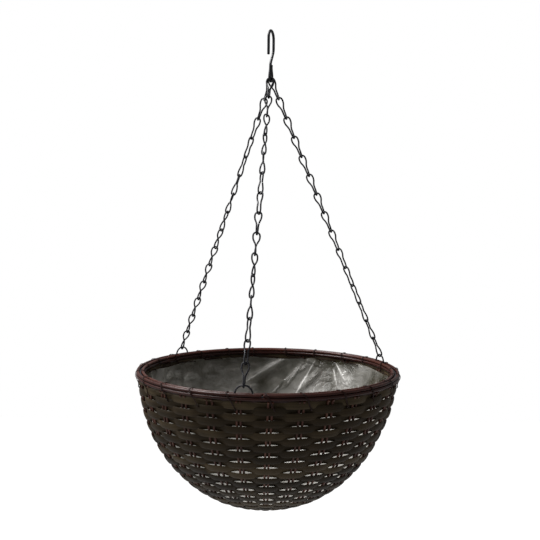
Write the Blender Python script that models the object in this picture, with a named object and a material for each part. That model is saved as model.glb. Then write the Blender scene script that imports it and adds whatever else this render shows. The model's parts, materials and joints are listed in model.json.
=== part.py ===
"""Hanging rattan basket: a woven bowl with a plastic liner, three wire-link chains and a wire hook.

Metres, +Z up. The origin is the inside top of the hook's bend, where the hook sits on whatever
carries it. The photograph looks along +Y, with +X to the right. A bearing is an angle seen from
above, clockwise from +Y, so 90 degrees is +X.
"""

import math

import bmesh
import bpy
from mathutils import Matrix, Vector

# Gap left between pieces that touch on the real basket
CLEAR = 0.0003

# Hook, bent from one wire
HOOK_WIRE = 0.0036
HOOK_MOUTH = 0.0178
HOOK_SHORT_LEG = 0.0220
HOOK_LONG_LEG = 0.0110
HOOK_NECK_DEPTH = 0.0455
HOOK_NECK_GAP = 0.0005
HOOK_DROP = 0.0624
HOOK_EYE_WIDTH = 0.0074
HOOK_TAIL_HEIGHT = 0.0200
HOOK_TAIL_SPLAY = 0.0012
HOOK_TURN = math.radians(72.0)
HOOK_SIDES = 8
HOOK_ARC_STEPS = 10
HOOK_SWEEP_STEPS = 6
HOOK_FLARE_STEPS = 4

# Chain links, each twisted from one wire, with the lower lobe at right angles to the upper one
LINKS = 15
LINK_WIRE = 0.0020
LINK_PITCH = 0.0277
LINK_UPPER_WIDTH = 0.0105
LINK_LOWER_WIDTH = 0.0080
LINK_END_GAP = 0.0012
LINK_SIDES = 5
# One side of a link from its top to its bottom: how far down the link's length, how far out in
# the upper lobe's half width, and how far out in the lower lobe's half width
LINK_SIDE_SHARES = (
    (0.000, 0.38, 0.00),
    (0.070, 0.88, 0.00),
    (0.190, 1.00, 0.00),
    (0.420, 0.66, 0.06),
    (0.580, 0.32, 0.52),
    (0.790, 0.05, 1.00),
    (0.935, 0.00, 0.86),
    (1.000, 0.00, 0.38),
)
# The wire's two ends meet in the waist of one side, after this many of the side's points
LINK_WAIST_POINT = 4
# Pressed aside, a chain takes every link from the second on with it. Those above the two in the
# middle tip one way, those below them tip the other way, and the two themselves stay level
FIRST_MOVING = 2
LEVEL_LINKS = (8, 9)

# Rim: a wire hoop inside a bundle of round canes
RIM_WIDTH = 0.3556
RIM_WIRE = 0.0040
CANE = 0.0039
CANE_ANGLES = {
    "rim_cane_outer_low": math.radians(-22.0),
    "rim_cane_top_outer": math.radians(38.0),
    "rim_cane_top_inner": math.radians(142.0),
    "rim_cane_inner_low": math.radians(202.0),
    "rim_cane_bottom": math.radians(270.0),
}
RIM_STEPS = 48
RIM_WIRE_SIDES = 4
CANE_SIDES = 5

# Wire eyes that stand on the hoop and take the chains
EYE_WIRE = 0.0022
EYE_WIDTH = 0.0240
EYE_HEIGHT = 0.0151
EYE_SIDES = 6
EYE_ARC_STEPS = 10

# Lashing, one flat strand that whips the canes together at even steps round the rim, from a
# bearing that keeps it off the eyes' feet
LASHINGS = 23
LASHING_START = math.radians(70.4)
LASHING_WIDTH = 0.0024
LASHING_THICKNESS = 0.0008
LASHING_ADVANCE = 0.0050
LASHING_TAIL = 0.0120
LASHING_RUN_STEPS = 4

# Woven wall: one strip goes round and round over pairs of stakes, out at one pair and in at the
# next. The pairs are odd in number, so each round does the opposite of the round above it
WALL_DEPTH = 0.1840
WALL_THICKNESS = 0.0060
WEAVE_THICKNESS = 0.0020
WALL_RADIUS_POWER = 2.20
WALL_DEPTH_POWER = 1.80
STAKE_PAIRS = 29
FACING_PAIR = math.radians(179.0)
ROUND_STEP = math.radians(2.73)
BASE_TURN = math.radians(79.5)

# Plastic film inside the wall
BOWL_RINGS = 9
LINER_THICKNESS = 0.0010
LINER_TOP = 0.0128
LINER_STEPS = 24

# Chains: bearing of the rim eye, place beside the others in the hook's eye, how far the links turn
# about the chain on the way down, and the links between which they do
CHAINS = {
    "left": (math.radians(-48.0), 0, math.radians(-132.0), 2, 10),
    "right": (math.radians(68.5), 1, math.radians(-53.0), 8, 14),
    "front": (math.radians(189.5), -1, math.radians(367.0), 1, 15),
}

BLACK_WIRE = (0.012, 0.013, 0.020)
HOOK_BLACK = (0.016, 0.017, 0.024)
CANE_BROWN = (0.170, 0.052, 0.022)
WEAVE_BROWN = (0.095, 0.048, 0.020)
LASHING_BROWN = (0.060, 0.030, 0.016)
FILM_GREY = (0.430, 0.430, 0.450)

# Sizes worked out from those above
HOOK_BEND = (HOOK_MOUTH + HOOK_WIRE) / 2
HOOK_EYE = (HOOK_EYE_WIDTH + HOOK_WIRE) / 2
HOOK_SIDE_STEP = (HOOK_WIRE + HOOK_NECK_GAP) / 2
HOOK_EYE_CENTRE = -HOOK_DROP + HOOK_EYE_WIDTH / 2
ALONG_HOOK = Vector((math.cos(HOOK_TURN), math.sin(HOOK_TURN), 0.0))
ACROSS_HOOK = Vector((math.sin(HOOK_TURN), -math.cos(HOOK_TURN), 0.0))
UP = Vector((0.0, 0.0, 1.0))
LINK_LENGTH = LINK_PITCH + LINK_WIRE + CLEAR
LINK_TOP = (LINK_WIRE + CLEAR) / 2
WIRE_STEP = (HOOK_WIRE + LINK_WIRE) / 2 + CLEAR
CANE_OFFSET = (RIM_WIRE + CANE) / 2 + CLEAR
RIM_RADIUS = RIM_WIDTH / 2 - CANE_OFFSET - CANE / 2
STEP_ANGLE = 2 * math.pi / RIM_STEPS
EYE_CIRCLE = RIM_RADIUS * math.cos(STEP_ANGLE / 2)
EYE_TOP = EYE_HEIGHT - EYE_WIRE / 2
LAST_REACH = (EYE_WIRE + LINK_WIRE) / 2 + CLEAR
CHAIN_REACH = (LINKS - 1) * LINK_PITCH + LINK_LENGTH - LAST_REACH - WIRE_STEP
PIVOT_HEIGHT = -HOOK_DROP - HOOK_WIRE / 2
RIM_LEVEL = PIVOT_HEIGHT - math.sqrt(CHAIN_REACH ** 2 - EYE_CIRCLE ** 2) - EYE_TOP
LASHING_STEP = CANE / 2 + CLEAR + LASHING_THICKNESS / 2
WALL_TOP = CANE_OFFSET + CANE / 2 + CLEAR + LASHING_THICKNESS + CLEAR
WALL_RADIUS = RIM_RADIUS + WALL_THICKNESS / 2
FIRST_VERTEX = CHAINS["right"][0] + STEP_ANGLE / 2


def clear_scene():
    for old in list(bpy.data.objects):
        bpy.data.objects.remove(old, do_unlink=True)


def finish_for(name, colour, roughness, metallic):
    material = bpy.data.materials.new(name)
    material.use_nodes = True
    shader = material.node_tree.nodes["Principled BSDF"]
    shader.inputs["Base Color"].default_value = (*colour, 1.0)
    shader.inputs["Roughness"].default_value = roughness
    shader.inputs["Metallic"].default_value = metallic
    material.diffuse_color = (*colour, 1.0)
    return material


def mesh_from(name, build):
    shape = bmesh.new()
    build(shape)
    bmesh.ops.recalc_face_normals(shape, faces=shape.faces)
    mesh = bpy.data.meshes.new(name)
    shape.to_mesh(mesh)
    shape.free()
    mesh.shade_smooth()
    mesh.set_sharp_from_angle(angle=math.radians(60.0))
    return mesh


def place(name, mesh, material, parent, location, rotation=None):
    piece = bpy.data.objects.new(name, mesh)
    bpy.context.scene.collection.objects.link(piece)
    if not mesh.materials:
        mesh.materials.append(None)
    piece.material_slots[0].link = "OBJECT"
    piece.material_slots[0].material = material
    piece.parent = parent
    piece.location = location
    if rotation:
        piece.rotation_mode = "QUATERNION"
        piece.rotation_quaternion = rotation.to_quaternion()
    return piece


def add_empty(name, parent, location):
    empty = bpy.data.objects.new(name, None)
    bpy.context.scene.collection.objects.link(empty)
    empty.parent = parent
    empty.location = location
    return empty


def on_circle(bearing, radius, height):
    return Vector((radius * math.sin(bearing), radius * math.cos(bearing), height))


def outward(bearing):
    return Vector((math.sin(bearing), math.cos(bearing), 0.0))


def rim_flat(bearing):
    """How far in the rim's straight facets lie at a bearing, as a share of the circle's radius."""
    past_middle = (bearing - FIRST_VERTEX) % STEP_ANGLE - STEP_ANGLE / 2
    return math.cos(STEP_ANGLE / 2) / math.cos(past_middle)


def in_bundle(bearing, centre, angle, distance):
    """A point near the rim: an angle round a cane, where 0 is outward and 90 degrees is up."""
    out = (RIM_RADIUS + centre[0]) * rim_flat(bearing) + distance * math.cos(angle)
    return on_circle(bearing, out, centre[1] + distance * math.sin(angle))


def bridge(shape, first, second):
    count = len(first)
    for i in range(count):
        j = (i + 1) % count
        shape.faces.new((first[i], first[j], second[j], second[i]))


def tangents_of(points, closed):
    last = len(points) - 1
    result = []
    for i in range(len(points)):
        before = points[i - 1] if closed or i > 0 else points[0]
        after = points[(i + 1) % len(points)] if closed or i < last else points[last]
        result.append((after - before).normalized())
    return result


def add_tube(shape, points, diameter, sides, closed=False, side_way=UP):
    """A round wire along points, with flat ends unless it is closed on itself."""
    across = side_way.copy()
    rings = []
    for point, along in zip(points, tangents_of(points, closed)):
        across = (across - along * across.dot(along)).normalized()
        other = along.cross(across)
        ring = []
        for k in range(sides):
            turn = 2 * math.pi * (k + 0.5) / sides
            offset = across * math.cos(turn) + other * math.sin(turn)
            ring.append(shape.verts.new(point + offset * diameter / 2))
        rings.append(ring)
    for first, second in zip(rings, rings[1:]):
        bridge(shape, first, second)
    if closed:
        bridge(shape, rings[-1], rings[0])
    else:
        shape.faces.new(rings[0])
        shape.faces.new(rings[-1])


def add_strand(shape, points, outs, width, thickness):
    """A flat strand along points, lying with its width square to the outward directions."""
    rings = []
    for point, out, along in zip(points, outs, tangents_of(points, False)):
        flat = (out - along * out.dot(along)).normalized()
        side = along.cross(flat)
        ring = []
        for a, b in ((1, 1), (-1, 1), (-1, -1), (1, -1)):
            offset = side * a * width / 2 + flat * b * thickness / 2
            ring.append(shape.verts.new(point + offset))
        rings.append(ring)
    for first, second in zip(rings, rings[1:]):
        bridge(shape, first, second)
    shape.faces.new(rings[0])
    shape.faces.new(rings[-1])


def in_hook(along, height):
    return ALONG_HOOK * along + UP * height


def ease(share):
    return (1 - math.cos(math.pi * share)) / 2


def hook_points():
    """The hook's wire: short leg, bend, long leg swinging in, round the eye and up to its tail."""
    bend_height = HOOK_WIRE / 2 - HOOK_BEND
    leg_height = bend_height - HOOK_LONG_LEG
    neck_height = -HOOK_NECK_DEPTH
    points = [in_hook(-HOOK_BEND, bend_height - HOOK_SHORT_LEG)]
    for k in range(HOOK_ARC_STEPS + 1):
        turn = math.pi * k / HOOK_ARC_STEPS
        points.append(in_hook(-HOOK_BEND * math.cos(turn), bend_height + HOOK_BEND * math.sin(turn)))
    for k in range(HOOK_SWEEP_STEPS + 1):
        share = k / HOOK_SWEEP_STEPS
        swing = HOOK_BEND - (HOOK_BEND + HOOK_SIDE_STEP) * ease(share)
        points.append(in_hook(swing, leg_height + (neck_height - leg_height) * share))
    for k in range(1, HOOK_FLARE_STEPS + 1):
        share = k / HOOK_FLARE_STEPS
        flare = HOOK_SIDE_STEP + (HOOK_EYE - HOOK_SIDE_STEP) * ease(share)
        points.append(in_hook(-flare, neck_height + (HOOK_EYE_CENTRE - neck_height) * share))
    for k in range(1, HOOK_ARC_STEPS + 1):
        turn = math.pi * k / HOOK_ARC_STEPS
        points.append(in_hook(-HOOK_EYE * math.cos(turn), HOOK_EYE_CENTRE - HOOK_EYE * math.sin(turn)))
    for k in range(1, HOOK_FLARE_STEPS + 1):
        share = k / HOOK_FLARE_STEPS
        flare = HOOK_EYE + (HOOK_SIDE_STEP - HOOK_EYE) * ease(share)
        points.append(in_hook(flare, HOOK_EYE_CENTRE + (neck_height - HOOK_EYE_CENTRE) * share))
    tail_height = -HOOK_DROP + HOOK_TAIL_HEIGHT
    points.append(in_hook(HOOK_SIDE_STEP + HOOK_TAIL_SPLAY, tail_height))
    return points


def make_hook(parent):
    def build(shape):
        add_tube(shape, hook_points(), HOOK_WIRE, HOOK_SIDES, side_way=ACROSS_HOOK)
    mesh = mesh_from("hook", build)
    place("hook", mesh, finish_for("hook_wire", HOOK_BLACK, 0.35, 0.7), parent, (0.0, 0.0, 0.0))


def link_points():
    """One link, hanging from its upper contact, which is the local origin."""
    upper = (LINK_UPPER_WIDTH - LINK_WIRE) / 2
    lower = (LINK_LOWER_WIDTH - LINK_WIRE) / 2

    def side_point(row, sign):
        down, out_upper, out_lower = row
        return Vector((sign * out_upper * upper, sign * out_lower * lower, LINK_TOP - down * LINK_LENGTH))

    near = [side_point(row, 1) for row in LINK_SIDE_SHARES]
    far = [side_point(row, -1) for row in LINK_SIDE_SHARES]
    waist = (far[LINK_WAIST_POINT - 1] + far[LINK_WAIST_POINT]) / 2
    half_gap = (far[LINK_WAIST_POINT - 1] - waist).normalized() * LINK_END_GAP / 2
    start = [waist + half_gap] + far[LINK_WAIST_POINT - 1::-1]
    finish = far[:LINK_WAIST_POINT - 1:-1] + [waist - half_gap]
    return start + near + finish


def hook_seat(place_in_eye):
    """Where a chain's first link crosses the hook's eye: the eye wire's centre and its inward way."""
    spacing = 2 * math.asin((LINK_WIRE + CLEAR) / (2 * (HOOK_EYE - WIRE_STEP)))
    angle = place_in_eye * spacing
    seat = in_hook(HOOK_EYE * math.sin(angle), HOOK_EYE_CENTRE - HOOK_EYE * math.cos(angle))
    inward = in_hook(-math.sin(angle), math.cos(angle))
    return seat, inward


def chain_line(bearing, place_in_eye):
    """Top of a chain's first link, the way the chain runs and its spacing from link to link."""
    eye = on_circle(bearing, EYE_CIRCLE, RIM_LEVEL + EYE_TOP)
    seat, inward = hook_seat(place_in_eye)
    pull = (eye - seat).normalized()
    lift = (inward * -pull.dot(inward) + ACROSS_HOOK * -pull.dot(ACROSS_HOOK)).normalized()
    top = seat + lift * WIRE_STEP
    way = (eye - top).normalized()
    pitch = ((eye - top).length + LAST_REACH - LINK_LENGTH) / (LINKS - 1)
    return top, way, pitch


def bow_turn(k):
    """How far link k tips while its chain is pressed aside, as a share of the first moving link."""
    upper, lower = LEVEL_LINKS
    if k < upper:
        return (upper - k) / (upper - FIRST_MOVING)
    return min(lower - k, 0) / (LINKS - lower)


def tipping_axis(k):
    """How many links above link k's upper contact the axis lies about which it tips."""
    aside = sum(bow_turn(above) for above in range(FIRST_MOVING, k))
    return aside / bow_turn(k)


def make_chains(hub):
    def build(shape):
        add_tube(shape, link_points(), LINK_WIRE, LINK_SIDES, side_way=Vector((0.0, 1.0, 0.0)))
    mesh = mesh_from("chain_link", build)
    material = finish_for("chain_wire", BLACK_WIRE, 0.38, 0.6)
    for chain, (bearing, place_in_eye, turn, first, last) in CHAINS.items():
        top, way, pitch = chain_line(bearing, place_in_eye)
        wide = (ACROSS_HOOK - way * ACROSS_HOOK.dot(way)).normalized()
        for k in range(1, LINKS + 1):
            share = min(max((k - first) / (last - first), 0.0), 1.0)
            axis = Matrix.Rotation(turn * share, 3, -way) @ wide
            frame = Matrix((axis, (-way).cross(axis), -way)).transposed()
            name = f"{chain}_chain_link_{k:02d}"
            contact = top + way * (pitch * (k - 1) + LINK_TOP) - hub.location
            if k < FIRST_MOVING or k in LEVEL_LINKS:
                place(name, mesh, material, hub, contact, frame)
            else:
                above = way * -pitch * tipping_axis(k)
                axle = add_empty(f"{name}_axis", hub, contact + above)
                place(name, mesh, material, axle, -above, frame)


def ring_points(radius, height, steps):
    points = []
    for k in range(steps):
        points.append(on_circle(FIRST_VERTEX + 2 * math.pi * k / steps, radius, height))
    return points


def make_rim(hub, rim_place):
    def build_hoop(shape):
        add_tube(shape, ring_points(RIM_RADIUS, 0.0, RIM_STEPS), RIM_WIRE, RIM_WIRE_SIDES, closed=True)
    hoop_finish = finish_for("rim_wire", BLACK_WIRE, 0.45, 0.6)
    place("rim_hoop", mesh_from("rim_hoop", build_hoop), hoop_finish, hub, rim_place)
    for name, angle in CANE_ANGLES.items():
        radius = RIM_RADIUS + CANE_OFFSET * math.cos(angle)
        height = CANE_OFFSET * math.sin(angle)

        def build_cane(shape):
            add_tube(shape, ring_points(radius, height, RIM_STEPS), CANE, CANE_SIDES, closed=True)
        place(name, mesh_from(name, build_cane), finish_for(name, CANE_BROWN, 0.5, 0.0), hub, rim_place)


def make_eyes(hub, rim_place):
    half = (EYE_WIDTH - EYE_WIRE) / 2
    foot = RIM_WIRE / 2 + CLEAR
    arch_height = EYE_TOP - half
    for chain, (bearing, *_) in CHAINS.items():
        middle = on_circle(bearing, EYE_CIRCLE, 0.0)
        sideways = UP.cross(outward(bearing))
        points = [middle - sideways * half + UP * foot]
        for k in range(EYE_ARC_STEPS + 1):
            turn = math.pi * k / EYE_ARC_STEPS
            rise = arch_height + half * math.sin(turn)
            points.append(middle - sideways * half * math.cos(turn) + UP * rise)
        points.append(middle + sideways * half + UP * foot)

        def build(shape):
            add_tube(shape, points, EYE_WIRE, EYE_SIDES, side_way=outward(bearing))
        name = f"{chain}_rim_eye"
        place(name, mesh_from(name, build), finish_for(name, BLACK_WIRE, 0.4, 0.6), hub, rim_place)


def wrap_around_bundle():
    """Once round the canes from the inside below: an offset centre, an angle and a distance."""
    angles = sorted(angle % (2 * math.pi) for angle in CANE_ANGLES.values())
    start = angles.index(CANE_ANGLES["rim_cane_bottom"])
    order = angles[start:] + [angle + 2 * math.pi for angle in angles[:start]]
    before = [order[-1] - 2 * math.pi] + order[:-1]
    after = order[1:] + [order[0] + 2 * math.pi]
    wrap = []
    for low, angle, high in zip(before, order, after):
        centre = (CANE_OFFSET * math.cos(angle), CANE_OFFSET * math.sin(angle))
        first = (low + angle) / 2
        span = (high + angle) / 2 - first
        distance = LASHING_STEP / math.cos(span / 4)
        for k in range(3):
            wrap.append((centre, first + span * k / 2, distance))
    return wrap


def lashing_path():
    wrap = wrap_around_bundle()
    spacing = 2 * math.pi / LASHINGS
    advance = LASHING_ADVANCE / RIM_RADIUS
    tail = LASHING_TAIL / RIM_RADIUS
    run_centre = [(a + b) / 2 for a, b in zip(wrap[0][0], wrap[-1][0])]
    run_angle, run_distance = wrap[0][1:]
    points = []
    outs = []

    def add(bearing, centre, angle, distance):
        points.append(in_bundle(bearing, centre, angle, distance))
        outs.append(outward(bearing) * math.cos(angle) + UP * math.sin(angle))

    for station in range(LASHINGS):
        middle = LASHING_START + station * spacing
        for k, (centre, angle, distance) in enumerate(wrap):
            share = k / (len(wrap) - 1)
            add(middle + advance * (share - 0.5), centre, angle, distance)
        run = spacing - advance if station < LASHINGS - 1 else tail
        for k in range(1, LASHING_RUN_STEPS):
            share = k / LASHING_RUN_STEPS
            add(middle + advance / 2 + run * share, run_centre, run_angle, run_distance)
    return points, outs


def least_gap(points, diameter, skip):
    """The least gap of a winding to itself, between points that aren't close along it."""
    least = math.inf
    for i, point in enumerate(points):
        for other in points[i + skip:]:
            least = min(least, (point - other).length)
    return least - diameter


def make_lashing(hub, rim_place):
    points, outs = lashing_path()

    def build(shape):
        add_strand(shape, points, outs, LASHING_WIDTH, LASHING_THICKNESS)
    finish = finish_for("rim_lashing", LASHING_BROWN, 0.7, 0.0)
    place("rim_lashing", mesh_from("rim_lashing", build), finish, hub, rim_place)
    per_wrap = len(wrap_around_bundle()) - 1
    print(f"lashing: least gap to itself {least_gap(points, LASHING_WIDTH, per_wrap) * 1000:.2f} mm")


def edge_turn(inset, down):
    """How far round the bowl's curve a level lies, from zero at the rim to 90 degrees below."""
    return math.asin((down / (WALL_DEPTH - inset)) ** (WALL_DEPTH_POWER / 2))


def bowl_profile(inset, turns):
    """Radius and height down the bowl's curve, drawn in by an inset."""
    profile = []
    for turn in turns:
        out = (WALL_RADIUS - inset) * math.cos(turn) ** (2 / WALL_RADIUS_POWER)
        down = (WALL_DEPTH - inset) * math.sin(turn) ** (2 / WALL_DEPTH_POWER)
        profile.append((out, -down))
    return profile


def add_weave(shape, inset, first, steps):
    """One face of the woven wall, as a spiral from its level edge down to a plain last round."""
    wave = (WALL_THICKNESS - WEAVE_THICKNESS) / 2
    spiral = []
    for n in range(steps + 1):
        fade = min(max((steps - n) / STAKE_PAIRS - 1, 0.0), 1.0)
        side = -1 if n % 2 else 1
        turn = first + ROUND_STEP * n / STAKE_PAIRS
        out, height = bowl_profile(inset + side * wave * fade, [turn])[0]
        bearing = FACING_PAIR + 2 * math.pi * n / STAKE_PAIRS
        spiral.append(shape.verts.new(on_circle(bearing, out, height)))
    out, height = bowl_profile(inset, [edge_turn(inset, WALL_TOP)])[0]
    edge = []
    for k in range(STAKE_PAIRS):
        bearing = FACING_PAIR + 2 * math.pi * k / STAKE_PAIRS
        edge.append(shape.verts.new(on_circle(bearing, out, height)))
        if k > 0:
            shape.faces.new((edge[k - 1], edge[k], spiral[k], spiral[k - 1]))
    shape.faces.new((edge[-1], edge[0], spiral[STAKE_PAIRS], spiral[STAKE_PAIRS - 1]))
    shape.faces.new((edge[0], spiral[0], spiral[STAKE_PAIRS]))
    for n in range(steps - STAKE_PAIRS):
        here, beside = spiral[n], spiral[n + 1]
        below, across = spiral[n + STAKE_PAIRS], spiral[n + STAKE_PAIRS + 1]
        # Each four are split between the two that stand out
        if n % 2:
            shape.faces.new((here, beside, across))
            shape.faces.new((here, across, below))
        else:
            shape.faces.new((here, beside, below))
            shape.faces.new((beside, across, below))
    pole = shape.verts.new((0.0, 0.0, inset - WALL_DEPTH))
    for n in range(steps - STAKE_PAIRS, steps):
        shape.faces.new((spiral[n], spiral[n + 1], pole))
    shape.faces.new((spiral[steps], spiral[steps - STAKE_PAIRS], pole))
    return edge


def add_bowl(shape, insets, top, turns, steps):
    """A bowl between two insets of the basket's outer curve, with a level edge."""
    edges = []
    for inset in insets:
        profile = bowl_profile(inset, [edge_turn(inset, top)] + turns)
        loops = [[shape.verts.new(p) for p in ring_points(out, height, steps)] for out, height in profile]
        for first, second in zip(loops, loops[1:]):
            bridge(shape, first, second)
        pole = shape.verts.new((0.0, 0.0, inset - WALL_DEPTH))
        last = loops[-1]
        for k in range(steps):
            shape.faces.new((last[k], last[(k + 1) % steps], pole))
        edges.append(loops[0])
    bridge(shape, edges[0], edges[1])


def make_wall(hub, rim_place):
    outer = (WALL_THICKNESS - WEAVE_THICKNESS) / 2
    first = edge_turn(outer, WALL_TOP) + ROUND_STEP / 4
    steps = int((BASE_TURN - first) / ROUND_STEP * STAKE_PAIRS)

    def build(shape):
        edges = [add_weave(shape, inset, first, steps) for inset in (outer, outer + WEAVE_THICKNESS)]
        bridge(shape, *edges)
    finish = finish_for("woven_wall", WEAVE_BROWN, 0.6, 0.0)
    place("woven_wall", mesh_from("woven_wall", build), finish, hub, rim_place)


def make_liner(hub, rim_place):
    liner_insets = (WALL_THICKNESS + CLEAR, WALL_THICKNESS + CLEAR + LINER_THICKNESS)
    turns = [math.pi / 2 * k / BOWL_RINGS for k in range(1, BOWL_RINGS)]

    def build_liner(shape):
        add_bowl(shape, liner_insets, LINER_TOP, turns, LINER_STEPS)
    liner_finish = finish_for("liner", FILM_GREY, 0.2, 0.0)
    place("liner", mesh_from("liner", build_liner), liner_finish, hub, rim_place)


clear_scene()
pivot = add_empty("basket_pivot", None, (0.0, 0.0, PIVOT_HEIGHT))
rim_centre = Vector((0.0, 0.0, RIM_LEVEL)) - pivot.location
make_hook(None)
make_chains(pivot)
make_rim(pivot, rim_centre)
make_eyes(pivot, rim_centre)
make_lashing(pivot, rim_centre)
make_wall(pivot, rim_centre)
make_liner(pivot, rim_centre)
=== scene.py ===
import json
import math

import bpy
import numpy as np
from mathutils import Matrix, Vector


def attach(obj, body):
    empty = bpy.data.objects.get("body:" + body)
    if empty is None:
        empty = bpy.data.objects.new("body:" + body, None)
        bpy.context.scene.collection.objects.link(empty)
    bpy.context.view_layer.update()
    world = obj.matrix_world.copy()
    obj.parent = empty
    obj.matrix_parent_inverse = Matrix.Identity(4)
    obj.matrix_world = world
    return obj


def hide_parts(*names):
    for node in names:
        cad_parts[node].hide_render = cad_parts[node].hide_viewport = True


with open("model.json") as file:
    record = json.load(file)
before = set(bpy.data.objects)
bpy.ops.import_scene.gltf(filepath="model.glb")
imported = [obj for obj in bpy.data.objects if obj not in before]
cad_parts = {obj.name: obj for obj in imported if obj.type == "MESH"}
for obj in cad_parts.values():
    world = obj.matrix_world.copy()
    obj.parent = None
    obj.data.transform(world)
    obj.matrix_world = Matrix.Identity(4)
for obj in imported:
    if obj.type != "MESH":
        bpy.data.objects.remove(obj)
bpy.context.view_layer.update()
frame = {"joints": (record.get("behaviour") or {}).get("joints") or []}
joints = {joint["name"]: joint for joint in frame["joints"]}

# Hook: one length of black coated wire, bent over at the top, swung in to its neck and closed
# round an eye for the chains. Its tail is cut off beside the shank.
HOOK_WIRE = 0.0036
HOOK_MOUTH = 0.0178
HOOK_SHORT_LEG = 0.0220
HOOK_LONG_LEG = 0.0110
# Below the inside of the bend, where the hook rests on what carries it
HOOK_NECK_DEPTH = 0.0455
HOOK_DROP = 0.0624
HOOK_NECK_GAP = 0.0005
HOOK_EYE_WIDTH = 0.0074
HOOK_TAIL_HEIGHT = 0.0200
HOOK_TAIL_SPLAY = 0.0012
HOOK_END_ROUND = 0.0011
HOOK_SIDES = 16
ARC_POINTS = 25
SHORT_LEG_POINTS = 6
LONG_LEG_POINTS = 4
SWING_IN_POINTS = 15
EYE_SIDE_POINTS = 9
# How far the hook is turned from facing the camera square on
HOOK_TURN = math.radians(72.0)

HOOK_BEND = (HOOK_MOUTH + HOOK_WIRE) / 2
HOOK_NECK = -HOOK_NECK_DEPTH
HOOK_EYE = (HOOK_EYE_WIDTH + HOOK_WIRE) / 2
HOOK_EYE_CENTRE = HOOK_EYE_WIDTH / 2 - HOOK_DROP
HOOK_SIDE_STEP = (HOOK_WIRE + HOOK_NECK_GAP) / 2
ALONG_HOOK = np.array((math.cos(HOOK_TURN), math.sin(HOOK_TURN), 0.0))
ACROSS_HOOK = np.array((math.sin(HOOK_TURN), -math.cos(HOOK_TURN), 0.0))
UP = np.array((0.0, 0.0, 1.0))


def unit(vectors):
    return vectors / np.linalg.norm(vectors, axis=-1, keepdims=True)


def eased(share):
    """A share from 0 to 1 that starts and ends gently."""
    return (1 - np.cos(np.pi * share)) / 2


def round_outline(diameter, sides):
    turns = 2 * np.pi * (np.arange(sides) + 0.5) / sides
    return np.stack([np.cos(turns), np.sin(turns)], 1) * diameter / 2


def with_round_ends(run, dome, path, outs, outline, tone):
    """The points of a long piece, packed closer near its ends and drawn in there to a round tip.

    run is each point's way from the start, and dome is how long the rounded stretch is.
    """
    near = dome * (1 - np.cos(np.radians((0.0, 22.0, 45.0, 68.0))))
    stops = np.unique(np.concatenate([run[(run > dome) & (run < run[-1] - dome)], near, [dome],
                                      run[-1] - near, [run[-1] - dome]]))

    def resampled(values):
        flat = values.reshape(len(run), -1)
        fresh = np.stack([np.interp(stops, run, column) for column in flat.T], 1)
        return fresh.reshape(len(stops), *values.shape[1:])

    smallest = 0.01
    from_end = np.minimum(stops, run[-1] - stops)
    swell = np.sqrt(np.clip(1 - (1 - np.minimum(from_end, dome) / dome) ** 2, smallest, 1.0))
    outs = None if outs is None else resampled(outs)
    return stops, resampled(path), outs, resampled(outline) * swell[:, None, None], resampled(tone)


def swept(name, path, outs, outline, closed=False, tone=0.5, dome=0.0):
    """A long piece: an outline of side and out offsets carried along a path.

    outs is the way that the outline's out side faces, or None where it may turn freely. The grain
    map runs along the piece and round it, in metres, and tone tells the strands apart. dome is how
    far the ends are rounded.
    """
    run = np.concatenate([[0.0], np.cumsum(np.linalg.norm(np.diff(path, axis=0), axis=1))])
    outline = np.broadcast_to(outline, (len(path), *np.shape(outline)[-2:]))
    tone = np.broadcast_to(tone, (len(path),))
    outs = None if outs is None else np.broadcast_to(outs, path.shape)
    if dome:
        run, path, outs, outline, tone = with_round_ends(run, dome, path, outs, outline, tone)
    count, sides = outline.shape[:2]
    along = unit(np.roll(path, -1, 0) - np.roll(path, 1, 0) if closed else np.gradient(path, axis=0))
    if outs is None:
        nearly_upright = abs(along[0][2]) > 0.9
        outs = [np.cross(along[0], ACROSS_HOOK if nearly_upright else UP)]
        for way in along[1:]:
            outs.append(unit(outs[-1] - way * np.dot(outs[-1], way)))
        outs = np.array(outs)
    flat = unit(outs - along * (outs * along).sum(1, keepdims=True))
    side = np.cross(along, flat)
    points = path[:, None] + side[:, None] * outline[..., :1] + flat[:, None] * outline[..., 1:]
    rings = count if closed else count - 1
    first = np.arange(rings)[:, None] * sides
    second = (np.arange(rings)[:, None] + 1) % count * sides
    here, there = np.arange(sides)[None], (np.arange(sides)[None] + 1) % sides
    quads = np.stack([first + here, first + there, second + there, second + here], -1).reshape(-1, 4)
    around = np.linalg.norm(outline - np.roll(outline, 1, 1), axis=2).sum(1).mean() / sides
    length = run[-1] + (np.linalg.norm(path[0] - path[-1]) if closed else 0.0)
    ends = np.append(run, length)[:rings + 1]
    u = np.stack([ends[:-1], ends[:-1], ends[1:], ends[1:]], 1)[:, None].repeat(sides, 1)
    v = np.stack([np.arange(sides), np.arange(sides) + 1, np.arange(sides) + 1, np.arange(sides)], 1)
    grain = np.stack([u, np.broadcast_to(v[None] * around, u.shape)], -1).reshape(-1, 2)
    faces = [tuple(quad) for quad in quads.tolist()]
    if not closed:
        faces += [tuple(range(sides))[::-1], tuple(range((count - 1) * sides, count * sides))]
        grain = np.concatenate([grain, np.zeros((2 * sides, 2))])
    mesh = bpy.data.meshes.new(name)
    mesh.from_pydata(points.reshape(-1, 3).tolist(), [], faces)
    mesh.uv_layers.new(name="grain").data.foreach_set("uv", grain.ravel())
    mesh.attributes.new("tone", "FLOAT", "POINT").data.foreach_set("value", np.repeat(tone, sides))
    mesh.shade_smooth()
    mesh.set_sharp_from_angle(angle=math.radians(50.0))
    return mesh


def shown(name, mesh, material):
    """A piece of the scene, in one material."""
    piece = bpy.data.objects.new(name, mesh)
    bpy.context.scene.collection.objects.link(piece)
    if not mesh.materials:
        mesh.materials.append(material)
    return piece


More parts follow.
